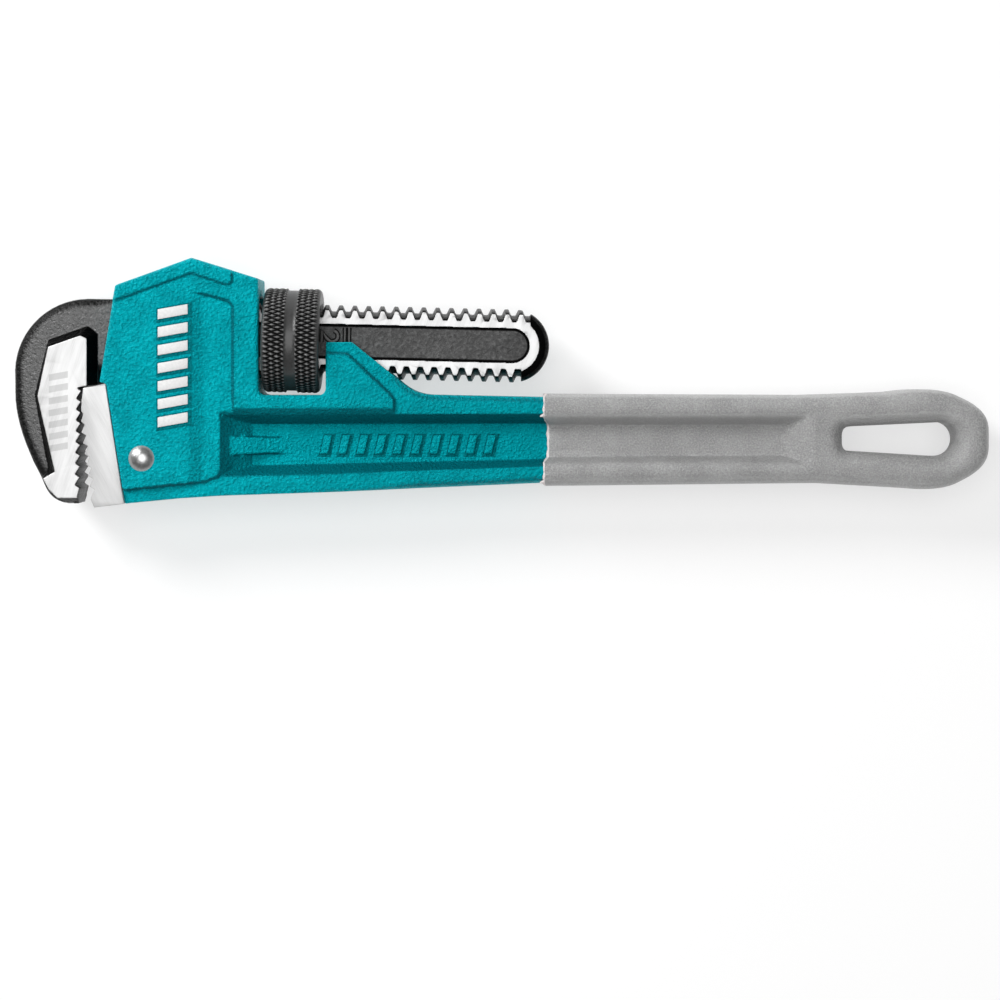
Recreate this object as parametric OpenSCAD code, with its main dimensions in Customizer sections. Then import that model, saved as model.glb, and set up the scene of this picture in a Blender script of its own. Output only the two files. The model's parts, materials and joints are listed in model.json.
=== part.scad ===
// Straight pipe wrench for 2 inch pipe, lying on its side.
// +X runs along the handle to its end, +Y to the roof of the head, +Z up.
// The adjusting nut is the lowest piece and touches z = 0, so the middle
// plane of the wrench is one nut radius up. All lengths are millimetres.

/* [Thread and nut] */
// Threads per inch of the hook jaw shank
threads_per_inch = 6; // [5:1:7]
// Full height of the shank over its thread crests
shank_height = 22.5; // [22.3:0.1:22.7]
// Depth of the shank thread
thread_depth = 1.9; // [1.6:0.1:2]
// Radial clearance between the shank thread and the nut thread
thread_clearance = 0.2; // [0.15:0.05:0.3]
// Outer diameter of the adjusting nut
nut_diameter = 32; // [30:0.5:32]
// Width of the adjusting nut
nut_width = 17.4; // [16.6:0.2:17.4]
// Width of the plain groove between the two knurled bands
nut_groove_width = 3; // [2:0.5:5]

/* [Hook jaw] */
// Thickness of the shank over its ground sides
shank_thickness = 12; // [11.5:0.1:12.2]
// Thickness of the hook around its block
hook_rim_thickness = 12.3; // [12.2:0.05:12.4]
// Thickness of the toothed block of the hook
hook_block_thickness = 19; // [16:0.5:21]
// Downward slope of the shank towards the handle, in degrees
shank_slope = 1.4; // [1:0.1:1.8]
// Distance from one tooth tip to the next
tooth_pitch = 3.28; // [3:0.02:3.5]
// Depth of the teeth
tooth_depth = 1.4; // [1:0.1:1.6]

/* [Heel jaw] */
// Thickness of the heel jaw block
heel_thickness = 22.6; // [20:0.2:23]
// Lean of the heel jaw teeth away from the hook jaw teeth, in degrees
heel_lean = 8.4; // [7:0.1:10]
// Diameter of the pin that holds the heel jaw
pin_diameter = 5.1; // [4:0.1:6]
// Diameter of the domed pin heads
pin_head_diameter = 7.8; // [7:0.2:9]

/* [Housing and handle] */
// Thickness of the head
head_thickness = 23.2; // [22.8:0.2:24]
// Thickness of the raised band along the roof of the head
roof_thickness = 24.4; // [24.2:0.2:25]
// Width of the channel that holds the shank
channel_width = 13; // [12.8:0.1:13.4]
// Thickness of the handle over its two flanges
handle_thickness = 20; // [19:0.5:21]
// Thickness of the web between the flanges
web_thickness = 8; // [6:0.5:9]

/* [Grip] */
// Thickness of the dipped vinyl grip
grip_thickness = 1; // [0.6:0.1:1.2]
// Where the grip starts along the handle
grip_start = 13.4; // [10:0.2:40]

/* [Hidden] */

overrun = 1;
mid_z = nut_diameter / 2;
fine = 96;
medium = 48;
coarse = 32;
pin_play = 0.1;

// Shank and thread. Lengths along the shank are counted from the nut's centre.
nut_centre = [-63.9, 12.9];
thread_pitch = 25.4 / threads_per_inch;
crest_radius = shank_height / 2;
root_radius = crest_radius - thread_depth;
crest_share = 0.26;
base_share = 0.67;
thread_start = -12.5;
// The thread ends later on the upper side of the shank than on the lower side.
thread_end = 72.7;
lower_thread_end = 70.3;
last_crest = 69.55;
end_round_centre = 67.4;
shank_front = -58.5;
panel_half_height = 5.3;
panel_start = -39.5;
panel_depth = 0.4;
core_height = 12;
core_lap = 0.2;

// Housing outline, from the front of the roof clockwise to the handle.
front_top = [-117, 29.5];
roof_peak = [-93.9, 37.9];
rear_top = [-72.5, 31.2];
rear_low = [-71.8, 28.8];
front_low = [-121.8, 0.2];
heel_seat_top = [-119.8, -0.5];
heel_seat_bottom = [-114.2, -36.8];
gap_left = -73.6;
gap_right = -53.2;
gap_floor = -3.8;
shoulder_top = 12.3;
head_rear = -32.5;
web_edge = -9.5;

// Web recess on each side of the handle, as its mouth and its floor.
recess_mouth = [[-85.5, -9.8], [94.5, -9.3], [94.5, -25.5], [12.5, -25.4], [-85.5, -28.4]];
recess_floor = [[-82.4, -12.6], [86.5, -12.3], [86.5, -23], [12.5, -23.5], [-82.4, -25.6]];
recess_centre = [4, -17.8];

// Hang hole at the end of the grip.
hole_front_x = 106.1;
hole_front_y = [-15.5, -18.9];
hole_front_radius = 2.1;
hole_rear = [133.9, -17.4];
hole_rear_radius = 5.3;
hole_bevel = 2.6;

// Teeth and the pin.
hook_tip_x = -127.6;
heel_tip = [-127.4, -14];
heel_limit_x = -127.3;
pin_centre = [-109, -23];
pin_head_height = 1.6;

// Springs.
coil_x = -84;
coil_bottom = -7.4;
coil_top = 1.9;
coil_radius = 3.3;
coil_wire_radius = 0.45;
coil_turns = 4;
pocket_radius = 4.3;
leaf_thickness = 0.8;
leaf_width = 10;
leaf_ends = [-43, -16.5];
leaf_lift = 0.2;
leaf_rise = 1.5;

function arc(centre, radius, from, to, steps) =
    [for (i = [0 : steps])
        let (a = from + (to - from) * i / steps)
        centre + radius * [cos(a), sin(a)]];

function curve(a, b, c, steps) =
    [for (i = [0 : steps])
        let (t = i / steps)
        a * (1 - t) * (1 - t) + b * 2 * t * (1 - t) + c * t * t];

function toward(a, b, share) =
    [for (i = [0 : len(a) - 1]) a[i] + (b[i] - a[i]) * share];

function inset(points, centre, by) =
    [for (p = points) p + by * [sign(centre.x - p.x), sign(centre.y - p.y)]];

// Saw teeth down a line: the tip of each tooth is above or below its valley.
function teeth(tip_x, slope, top, count, valley_side, tip_drop) =
    [for (i = [0 : count - 1], half = [0, 1])
        let (y = top - i * tooth_pitch - (half == 1 ? tip_drop * tooth_pitch : 0))
        [tip_x + slope * y + (half == 0 ? valley_side * tooth_depth : 0), y]];

// Solid between an outline at one height and the matching one at another.
// Both run clockwise as seen from above.
module between(low, low_z, high, high_z) {
    n = len(low);
    points = concat([for (p = low) [p.x, p.y, low_z]], [for (p = high) [p.x, p.y, high_z]]);
    sides = [for (i = [0 : n - 1], half = [0, 1])
        let (j = (i + 1) % n)
        half == 0 ? [i, j + n, i + n] : [i, j, j + n]];
    caps = [[for (i = [n - 1 : -1 : 0]) i], [for (i = [0 : n - 1]) i + n]];
    polyhedron(points, concat(sides, caps));
}

module plate(outline, thickness) {
    linear_extrude(thickness, center = true) polygon(outline);
}

module both_sides() {
    children();
    mirror([0, 0, 1]) children();
}

// Places a shape made along the shank's axis, with the nut's centre at zero.
module on_shank() {
    translate([nut_centre.x, nut_centre.y, mid_z]) rotate([0, 0, -shank_slope]) children();
}

// ---- Handle and housing ----

// Everything from the shoulder to the handle's end, seen from the side.
handle_end = concat(
    [[92, -4.8]],
    curve([118, -3.9], [131, -1.8], [138, -4.6], 6),
    curve([138.6, -5], [147.6, -8.6], [147.6, -14], 6),
    curve([147.6, -20], [147.6, -24.6], [142, -27.8], 6),
    curve([139, -29.4], [134, -32.4], [122, -31.1], 6),
    [[95.5, -29.6], [13.2, -30.5]]);

shoulder_slope = concat(
    [[gap_right, shoulder_top], [-45.3, shoulder_top]],
    curve([-31.5, 1.2], [-27, -3.4], [-21, -3.7], 6));

housing_bottom = [[-48.9, -33.2], [-85.2, -34.4], [-97.6, -35.2], heel_seat_bottom];

housing_outline = concat(
    [heel_seat_top, front_low, front_top, [front_top.x + 0.8, front_top.y + 0.5], roof_peak,
     rear_top, rear_low, [gap_left, 28], [gap_left, gap_floor], [gap_right, gap_floor]],
    shoulder_slope,
    [[13, -4.4]],
    handle_end,
    housing_bottom);

// The raised sides of the head, down to the web recess and the bottom flange.
head_outline = concat(
    [heel_seat_top, front_low, front_top, roof_peak, rear_top, rear_low,
     [gap_left, 28], [gap_left, gap_floor], [gap_right, gap_floor],
     [gap_right, shoulder_top - 3.4], [-46.8, shoulder_top - 3.4], [-34.6, -2.6],
     [head_rear, -5], [head_rear, web_edge]],
    [[-86.2, web_edge], [-86.2, -28.6], [-90.2, -30.1], [-114.8, -32.6]]);

roof_band = [[-117.9, 24.6], [-93.9, 33.2], [-82.8, 29.6], [-81.6, 30.6], [-81.6, 34.1],
             roof_peak, front_top];

// Shallow panel in each side of the head, with a ramp along its front.
panel_mouth = [[-94.6, 27.7], [-91.5, 27.2], [-82.3, 24.9], [-81.1, 23.2], [-81.1, -31], [-94.6, -31]];
panel_floor = [[-90.4, 26.6], [-89.4, 26.4], [-82.9, 24.5], [-81.7, 22.8], [-81.7, -31], [-90.4, -31]];
head_panel_depth = 0.8;
panel_floor_z = head_thickness / 2 - head_panel_depth;
panel_flare = 3;

// Bottom and top of the channel that the shank passes through.
channel_side = [[-126, 2.6], [gap_left + overrun, 1.3], [gap_left + overrun, 25.9],
                [-78.5, 26.2], [-82, 29], [-104, 29.4], [-110, 27.5], [-126, 27.7]];
heel_slot = [[-122, -0.9], [-95.5, -0.9], [-95.5, -32], [-122, -32.9]];
shank_slot_floor = -2.2;
shank_slot_size = [40, 30];
window_x = [-102, -96];
window_width = 7.5;
window_depth = 8;
pocket_depth = 12;
wedge_sink = 0.3;
wedge_taper = 0.6;
end_slope_rise = 9.8;
middle_wedge_rise = 8.9;

module handle_plan(grow) {
    if (grow > 0) offset(r = grow, $fn = coarse) polygon(housing_outline);
    else polygon(housing_outline);
}

module hang_hole(grow) {
    hull() {
        for (y = hole_front_y)
            translate([hole_front_x, y]) circle(hole_front_radius + grow, $fn = coarse);
        translate(hole_rear) circle(hole_rear_radius + grow, $fn = coarse);
    }
}

// Bevelled cut for the hang hole through a handle of the given half thickness.
module hang_hole_cut(grow, half) {
    linear_extrude(2 * (half + overrun), center = true) hang_hole(grow);
    skin = 0.01;
    lift = 0.1;
    both_sides() hull() {
        translate([0, 0, half - hole_bevel]) linear_extrude(skin) hang_hole(grow);
        translate([0, 0, half + lift]) linear_extrude(skin) hang_hole(grow + hole_bevel);
    }
}

// Cuts the web recess. The mouth is carried on past the surface by its own draft.
module recess_cut(shrink) {
    floor_z = web_thickness / 2 + shrink;
    mouth_z = handle_thickness / 2 + shrink;
    top_z = head_thickness / 2 + overrun;
    mouth = inset(recess_mouth, recess_centre, shrink);
    low = inset(recess_floor, recess_centre, shrink);
    high = toward(low, mouth, (top_z - floor_z) / (mouth_z - floor_z));
    both_sides() between(low, floor_z, high, top_z);
}

// Wedge that runs down from the recess end wall and sinks into the web.
module wedge(x_end, y_low, y_high, rise) {
    x_wall = recess_mouth[0].x;
    web_z = web_thickness / 2 - wedge_sink;
    points = [[x_wall, y_low, web_z], [x_wall, y_high, web_z], [x_wall, y_high, rise],
              [x_wall, y_low, rise], [x_end, y_high - wedge_taper, web_z],
              [x_end, y_low + wedge_taper, web_z]];
    faces = [[0, 2, 3], [0, 1, 2], [0, 4, 1], [0, 5, 4], [3, 4, 5], [3, 2, 4], [0, 3, 5], [1, 4, 2]];
    both_sides() polyhedron(points, faces);
}

module nut_gap() {
    corner = 2;
    linear_extrude(roof_thickness + 2 * overrun, center = true) {
        translate([gap_left, gap_floor + corner])
            square([gap_right - gap_left, roof_peak.y]);
        translate([gap_left + corner, gap_floor])
            square([gap_right - gap_left - 2 * corner, roof_peak.y]);
        for (x = [gap_left + corner, gap_right - corner])
            translate([x, gap_floor + corner]) circle(corner, $fn = coarse);
    }
}

module handle_housing() {
    gap_fill = concat(
        [[gap_left - overrun, gap_floor - overrun], [gap_left - overrun, 0],
         [gap_right + overrun, 0], [gap_right + overrun, gap_floor - overrun]]);
    color("darkcyan") translate([0, 0, mid_z]) {
        difference() {
            union() {
                plate(housing_outline, handle_thickness);
                plate(head_outline, head_thickness);
                plate(roof_band, roof_thickness);
                plate(gap_fill, head_thickness);
            }
            nut_gap();
            plate(channel_side, channel_width);
            plate(heel_slot, channel_width);
            recess_cut(0);
            both_sides() between(panel_floor, panel_floor_z,
                toward(panel_floor, panel_mouth, panel_flare),
                panel_floor_z + panel_flare * head_panel_depth);
            // Open slot between the two shoulder cheeks.
            translate([gap_right - overrun, shank_slot_floor, -channel_width / 2])
                cube([shank_slot_size.x, shank_slot_size.y, channel_width]);
            // Core window in the bottom, behind the heel jaw.
            translate([window_x[0], heel_seat_bottom.y - overrun, -window_width / 2])
                cube([window_x[1] - window_x[0], window_depth, window_width]);
            // Pocket of the coil spring.
            translate([coil_x, coil_bottom, 0]) rotate([-90, 0, 0])
                cylinder(h = pocket_depth, r = pocket_radius, $fn = medium);
            translate([pin_centre.x, pin_centre.y, 0])
                cylinder(h = 2 * head_thickness, d = pin_diameter + pin_play, center = true, $fn = medium);
            hang_hole_cut(grip_thickness, handle_thickness / 2);
        }
        wedge(-63.8, -22.1, -16.3, middle_wedge_rise);
        // The long slope that ends the recess.
        wedge(-75.3, -28.6, -9.6, end_slope_rise);
    }
}

// Box that keeps only the end of the handle, from the grip's start.
grip_box_low = [-60, -20];
grip_box = [160, 80, 40];

module grip_sleeve() {
    color("darkgray") translate([0, 0, mid_z]) {
        difference() {
            intersection() {
                linear_extrude(handle_thickness + 2 * grip_thickness, center = true)
                    handle_plan(grip_thickness);
                translate([grip_start, grip_box_low.x, grip_box_low.y]) cube(grip_box);
            }
            recess_cut(grip_thickness);
            hang_hole_cut(0, handle_thickness / 2 + grip_thickness);
            grip_core();
        }
    }
}

// The handle metal that the grip is dipped over.
module grip_core() {
    difference() {
        plate(housing_outline, handle_thickness);
        recess_cut(0);
        hang_hole_cut(grip_thickness, handle_thickness / 2);
    }
}

// ---- Heel jaw and its pin ----

module heel_jaw() {
    tenon_play = 0.4;
    slope = -tan(heel_lean);
    tip_x = heel_tip.x - slope * heel_tip.y;
    saw = [for (p = teeth(tip_x, slope, -6.2, 9, 1, 0.72)) [max(p.x, heel_limit_x), p.y]];
    block = concat(
        [[-119.9, -0.6], [-126.7, -1.6], [-127.2, -5.8]],
        saw,
        [[-124.4, -35.6], [-123.4, -37.9], [-114.3, -36.8]]);
    tenon = [[-122, -1.3], [-102.6, -1.3], [-102.6, -31.7], [-116, -32.2]];
    color("gainsboro") translate([0, 0, mid_z]) {
        difference() {
            union() {
                plate(block, heel_thickness);
                plate(tenon, channel_width - tenon_play);
            }
            translate([pin_centre.x, pin_centre.y, 0])
                cylinder(h = heel_thickness, d = pin_diameter + pin_play, center = true, $fn = medium);
        }
    }
}

module heel_jaw_pin() {
    head_radius = pin_head_diameter / 2;
    dome_radius = head_radius * head_radius / (2 * pin_head_height) + pin_head_height / 2;
    color("silver") translate([pin_centre.x, pin_centre.y, mid_z]) {
        cylinder(h = head_thickness, d = pin_diameter, center = true, $fn = medium);
        both_sides() intersection() {
            translate([0, 0, head_thickness / 2])
                cylinder(h = pin_head_height + overrun, r = head_radius + overrun, $fn = medium);
            translate([0, 0, head_thickness / 2 + pin_head_height - dome_radius])
                sphere(dome_radius, $fn = fine);
        }
    }
}

// ---- Springs ----

// Helical wire that stands along +Y from zero to the given length.
module coil(length, radius, wire, turns) {
    steps = 20;
    sides = 6;
    count = steps * turns;
    rise = (length - 2 * wire) / count;
    points = [for (i = [0 : count], k = [0 : sides - 1])
        let (turn = 360 * i / steps, a = 360 * k / sides, r = radius + wire * cos(a))
        [r * cos(turn), wire + i * rise + wire * sin(a), r * sin(turn)]];
    walls = [for (i = [0 : count - 1], k = [0 : sides - 1], half = [0, 1])
        let (a = i * sides + k, b = i * sides + (k + 1) % sides)
        half == 0 ? [a, b, b + sides] : [a, b + sides, a + sides]];
    ends = [[for (k = [sides - 1 : -1 : 0]) k], [for (k = [0 : sides - 1]) count * sides + k]];
    polyhedron(points, concat(walls, ends));
}

module coil_spring() {
    color("dimgray") translate([coil_x, coil_bottom, mid_z])
        coil(coil_top - coil_bottom, coil_radius, coil_wire_radius, coil_turns);
}

// Flat spring, bowed between its two ends, that rides on the shank.
module leaf_spring() {
    half_span = (leaf_ends[1] - leaf_ends[0]) / 2;
    bow = (half_span * half_span + leaf_rise * leaf_rise) / (2 * leaf_rise);
    reach = asin(half_span / bow);
    base = crest_radius + leaf_lift + leaf_rise - bow;
    centre = [(leaf_ends[0] + leaf_ends[1]) / 2, base];
    ribbon = concat(
        arc(centre, bow, 90 - reach, 90 + reach, 12),
        arc(centre, bow + leaf_thickness, 90 + reach, 90 - reach, 12));
    color("slategray") on_shank() plate(ribbon, leaf_width);
}

// ---- Hook jaw ----

// Centre of the thread crests at an angle around the shank, near a given place.
function crest_at(angle, near) =
    let (phase = last_crest + thread_pitch * angle / 360)
    phase + thread_pitch * round((near - phase) / thread_pitch);

// Half of the threaded shank, above (side 1) or below (side -1) its core.
module thread_comb(side) {
    lap = 0.4;
    z_reach = shank_thickness / 2 + lap;
    stations = 8;
    base_y = 4;
    run_out = 1.2;
    end_x = (side > 0 ? thread_end : lower_thread_end) + run_out;
    turn = side > 0 ? 0 : 180;
    function wrap(z, r) = side > 0 ? asin(z / r) : 180 - asin(z / r);
    first = crest_at(turn, thread_start + thread_pitch * base_share);
    count = floor((end_x - first - thread_pitch / 2) / thread_pitch) + 1;
    columns = 4 * count + 2;
    function column(j, z) =
        j == 0 ? [thread_start - run_out, root_radius] :
        j == columns - 1 ? [end_x, root_radius] :
        let (k = floor((j - 1) / 4), part = (j - 1) % 4,
             r = part == 0 || part == 3 ? root_radius : crest_radius,
             width = part == 0 || part == 3 ? base_share : crest_share,
             edge = part < 2 ? -1 : 1)
        [first + thread_pitch * (k + (wrap(z, r) - turn) / 360 + edge * width / 2), r];
    grid = [for (i = [0 : stations - 1], j = [0 : columns - 1])
        let (z = z_reach * (2 * i / (stations - 1) - 1), c = column(j, z))
        [c[0], side * sqrt(c[1] * c[1] - z * z), z]];
    base = [for (i = [0 : stations - 1], j = [0 : columns - 1])
        let (z = z_reach * (2 * i / (stations - 1) - 1))
        [column(j, z)[0], side * base_y, z]];
    n = stations * columns;
    function at(i, j) = i * columns + j;
    // Two triangles over the corners a, b, c, d, turned over for the lower half.
    function patch(a, b, c, d) = side > 0 ? [[a, b, c], [a, c, d]] : [[a, c, b], [a, d, c]];
    skin = [for (i = [0 : stations - 2], j = [0 : columns - 2],
                 t = patch(at(i, j), at(i, j + 1), at(i + 1, j + 1), at(i + 1, j))) t];
    floor_skin = [for (i = [0 : stations - 2], j = [0 : columns - 2],
                 t = patch(n + at(i, j), n + at(i + 1, j), n + at(i + 1, j + 1), n + at(i, j + 1))) t];
    edges = [for (j = [0 : columns - 2], far = [0, 1],
                 t = let (i = far * (stations - 1), a = at(i, j), b = at(i, j + 1))
                     far == 0 ? patch(n + a, n + b, b, a) : patch(a, b, n + b, n + a)) t];
    ends = [for (i = [0 : stations - 2], far = [0, 1],
                 t = let (j = far * (columns - 1), a = at(i, j), b = at(i + 1, j))
                     far == 0 ? patch(n + a, a, b, n + b) : patch(a, n + a, n + b, b)) t];
    polyhedron(concat(grid, base), concat(skin, floor_skin, edges, ends));
}

module shank_bar(from, to) {
    translate([from, 0, 0]) rotate([0, 90, 0])
        cylinder(h = to - from, r = crest_radius, $fn = fine);
}

module shank() {
    intersection() {
        linear_extrude(shank_thickness, center = true) {
            translate([shank_front, -crest_radius - overrun])
                square([end_round_centre - shank_front, 2 * (crest_radius + overrun)]);
            translate([end_round_centre, 0]) circle(crest_radius, $fn = fine);
        }
        union() {
            shank_bar(shank_front - overrun, thread_start);
            shank_bar(thread_end, end_round_centre + 2 * crest_radius);
            intersection() {
                shank_bar(lower_thread_end, thread_end + overrun);
                translate([lower_thread_end - overrun, -2 * crest_radius, -crest_radius])
                    cube(2 * crest_radius);
            }
            translate([shank_front, -core_height / 2, -shank_thickness / 2 - core_lap])
                cube([thread_end + overrun - shank_front, core_height,
                      shank_thickness + 2 * core_lap]);
            thread_comb(1);
            thread_comb(-1);
        }
    }
}

module shank_panels() {
    both_sides() translate([0, 0, shank_thickness / 2 - panel_depth])
        linear_extrude(panel_depth + overrun) {
            translate([panel_start, -panel_half_height])
                square([end_round_centre - panel_start, 2 * panel_half_height]);
            for (x = [panel_start, end_round_centre])
                translate([x, 0]) circle(panel_half_height, $fn = medium);
        }
}

// Side view of the hook before its mouth is cut: roof line, round back, leg and foot.
hook_outline = concat(
    [[-113, 25.4]],
    arc([-126.1, 3.1], 22.5, 90, 184, 16),
    curve([-148.5, -3], [-148.5, -10], [-145.2, -18.7], 6),
    [[-144, -21.6], [-142.9, -24.2], [-140.6, -28.6]],
    curve([-139.6, -31], [-137.6, -36.4], [-132, -36.9], 6),
    [[-122.2, -36.8], [-122.2, 3.4], [-113, 3.2]]);

// Ground block on each side of the hook: its face, and where its bevel ends.
block_face = [[-135.5, -27.1], [-140.8, -4.1], [-137.6, 10.8], [-127.9, 14.2], [-126, 13.3],
              [-126, -35.1], [-134.9, -35.1], [-137.4, -32.5], [-139.2, -29.2]];
block_foot = [[-138.4, -25.6], [-142.2, -3.8], [-137.9, 13.4], [-125.8, 17.6], [-122.6, 15.1],
              [-122.4, -36.8], [-132, -36.8], [-137.6, -33.3], [-139.9, -28.6]];
throat = [[-110, 1.9], [-126.7, -1.1]];

module hook_head() {
    block_sink = 0.5;
    slope_share = 0.7;
    slope = tan(shank_slope) * slope_share;
    saw = teeth(hook_tip_x, slope, -1.6, 10, -1, 0.28);
    mouth = concat(
        [[throat[0].x, -60]],
        throat,
        saw,
        [[hook_tip_x - 1.2, -34.5], [hook_tip_x - 0.7, -60]]);
    difference() {
        union() {
            plate(hook_outline, hook_rim_thickness);
            both_sides() between(block_foot, hook_rim_thickness / 2 - block_sink,
                block_face, hook_block_thickness / 2);
        }
        plate(mouth, 2 * hook_block_thickness);
    }
}

module hook_jaw() {
    color("dimgray") {
        translate([0, 0, mid_z]) hook_head();
        on_shank() difference() {
            shank();
            shank_panels();
        }
    }
}

// ---- Adjusting nut ----

// Rod with the nut's thread groove, along +X, as a helical sweep.
module thread_rod(length) {
    steps = 36;
    groove_radius = crest_radius + thread_clearance;
    sink = 0.4;
    inner = root_radius + thread_clearance - sink;
    // Axial half widths of the groove at its floor and where it leaves the rod.
    crest_half = thread_pitch * crest_share / 2 + thread_clearance / 2;
    base_half = thread_pitch * base_share / 2 + 2 * thread_clearance;
    profile = [[-base_half, inner], [-crest_half, groove_radius],
               [crest_half, groove_radius], [base_half, inner]];
    columns = len(profile);
    turns = ceil(length / thread_pitch) + 1;
    count = steps * turns;
    start = crest_at(0, -length / 2 - thread_pitch / 2);
    function spot(i, j) =
        let (a = 360 * i / steps, p = profile[j])
        [start + thread_pitch * i / steps + p[0], p[1] * cos(a), p[1] * sin(a)];
    // Column 0 goes on for one more turn, where it is also the last column's neighbour.
    body = [for (i = [0 : count], j = [0 : columns - 1]) spot(i, j)];
    extra = [for (i = [1 : steps]) spot(count + i, 0)];
    tips = [[start + thread_pitch / 2 - base_half, 0, 0],
            [start + thread_pitch * (turns + 0.5) - base_half, 0, 0]];
    function at(i, j) =
        j == columns ? at(i + steps, 0) :
        i <= count ? i * columns + j : (count + 1) * columns + i - count - 1;
    tip_at = (count + 1) * columns + steps;
    skin = [for (i = [0 : count - 1], j = [0 : columns - 1], half = [0, 1])
        half == 0 ? [at(i, j), at(i, j + 1), at(i + 1, j + 1)]
                  : [at(i, j), at(i + 1, j + 1), at(i + 1, j)]];
    start_cap = concat(
        [for (i = [0 : steps - 1]) [tip_at, at(i, 0), at(i + 1, 0)]],
        [for (j = [0 : columns - 1]) [tip_at, at(0, j + 1), at(0, j)]]);
    end_cap = concat(
        [for (i = [0 : steps - 1]) [tip_at + 1, at(count + i + 1, 0), at(count + i, 0)]],
        [for (j = [0 : columns - 1]) [tip_at + 1, at(count, j), at(count, j + 1)]]);
    polyhedron(concat(body, extra, tips), concat(skin, start_cap, end_cap));
}

module adjusting_nut() {
    half = nut_width / 2;
    radius = nut_diameter / 2;
    bore = root_radius + thread_clearance;
    mouth_relief = 0.3;
    lead_in = 1.6;
    corner = 1.5;
    mouth = crest_radius + thread_clearance + mouth_relief;
    groove_half = nut_groove_width / 2;
    groove_depth = 0.6;
    groove_draft = 0.4;
    profile = concat(
        [[mouth, -half]],
        arc([radius - corner, corner - half], corner, -90, 0, 4),
        [[radius, -groove_half - groove_draft], [radius - groove_depth, -groove_half],
         [radius - groove_depth, groove_half], [radius, groove_half + groove_draft]],
        arc([radius - corner, half - corner], corner, 0, 90, 4),
        [[mouth, half], [bore, half - lead_in], [bore, lead_in - half]]);
    color([0.15, 0.15, 0.16]) on_shank() difference() {
        rotate([0, 90, 0]) rotate_extrude($fn = fine) polygon(profile);
        thread_rod(nut_width + 2 * overrun);
    }
}

handle_housing();
grip_sleeve();
heel_jaw();
heel_jaw_pin();
coil_spring();
leaf_spring();
hook_jaw();
adjusting_nut();
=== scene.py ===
"""Pipe wrench: the looks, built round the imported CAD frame. Lengths are metres."""

import json
import math
from contextlib import contextmanager

import bmesh
import bpy
import numpy as np
from mathutils import Matrix, Vector
from mathutils.kdtree import KDTree


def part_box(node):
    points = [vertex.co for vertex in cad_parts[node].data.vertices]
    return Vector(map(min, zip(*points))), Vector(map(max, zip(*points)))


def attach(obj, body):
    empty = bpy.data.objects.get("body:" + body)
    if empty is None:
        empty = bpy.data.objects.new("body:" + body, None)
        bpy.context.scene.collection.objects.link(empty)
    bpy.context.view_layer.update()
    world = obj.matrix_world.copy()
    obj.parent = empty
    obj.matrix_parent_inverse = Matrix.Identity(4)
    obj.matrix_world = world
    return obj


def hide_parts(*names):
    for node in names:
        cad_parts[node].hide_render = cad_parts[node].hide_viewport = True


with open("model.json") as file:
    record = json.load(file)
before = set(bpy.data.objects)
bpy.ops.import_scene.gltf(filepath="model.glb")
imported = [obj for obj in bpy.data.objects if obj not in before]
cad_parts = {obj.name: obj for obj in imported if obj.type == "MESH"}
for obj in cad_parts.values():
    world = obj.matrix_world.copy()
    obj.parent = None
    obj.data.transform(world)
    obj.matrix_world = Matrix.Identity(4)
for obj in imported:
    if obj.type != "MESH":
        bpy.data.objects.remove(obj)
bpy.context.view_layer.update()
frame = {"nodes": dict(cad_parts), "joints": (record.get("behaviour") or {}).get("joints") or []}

MM = 0.001
COARSER = 1.0

# ---------------------------------------------------------------- the frame

JOINTS = {j["name"]: j for j in frame["joints"]}
NUT_CENTRE = Vector(JOINTS["nut_spin"]["pos_m"])
SHANK_BACK = -Vector(JOINTS["jaw_slide"]["axis"])
MID_Z = NUT_CENTRE.z
HOOK_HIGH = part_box("hook_jaw")[1]
HOUSING_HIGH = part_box("handle_housing")[1]
GRIP_LOW, GRIP_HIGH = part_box("grip_sleeve")
HEEL_LOW, HEEL_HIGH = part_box("heel_jaw")
PIN_LOW, PIN_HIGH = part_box("heel_jaw_pin")

# Heights of the flat sides above the middle plane, and the steps that some are worked out from.
# The wrench is the same above and below that plane.
ROOF_RISE = 0.6 * MM
HEAD_HALF = HOUSING_HIGH.z - MID_Z - ROOF_RISE
GRIP_HALF = GRIP_HIGH.z - MID_Z
GRIP_THICK = 1.0 * MM
HANDLE_HALF = GRIP_HALF - GRIP_THICK
WEB_HALF = 4.0 * MM
BLOCK_HALF = HOOK_HIGH.z - MID_Z
SHANK_HALF = 6.0 * MM
HOOK_RIM_HALF = 6.15 * MM
PANEL_FLOOR = 5.6 * MM

# Where the vinyl starts on the flanges, how much further back in the web, and the heights between.
DIP_START = GRIP_LOW.x - 0.6 * MM
DIP_BACK = 1.4 * MM
DIP_HEIGHTS = (4.5 * MM, 9.5 * MM)

# The shank's own frame: +X towards the handle's end, from the nut's centre. Its rounded end and
# its sunk panel are given in that frame.
SHANK_RADIUS = 11.25 * MM
SHANK_END_CENTRE = 67.4 * MM
PANEL_START = -39.5 * MM
PANEL_HALF = 5.3 * MM
SHANK_TURN = math.atan2(SHANK_BACK.y, SHANK_BACK.x)
SHANK_FRAME = Matrix.Translation(NUT_CENTRE) @ Matrix.Rotation(SHANK_TURN, 4, "Z")


# ---------------------------------------------------------------- mesh tools

# Points closer together than this become one.
WELD = 0.002 * MM
PLAN_GRID = 0.25 * MM
# A wall counts as upright while its normal's Z is below this.
UPRIGHT = 0.2


def new_object(name, data):
    obj = bpy.data.objects.new(name, data)
    bpy.context.scene.collection.objects.link(obj)
    return obj


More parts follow.
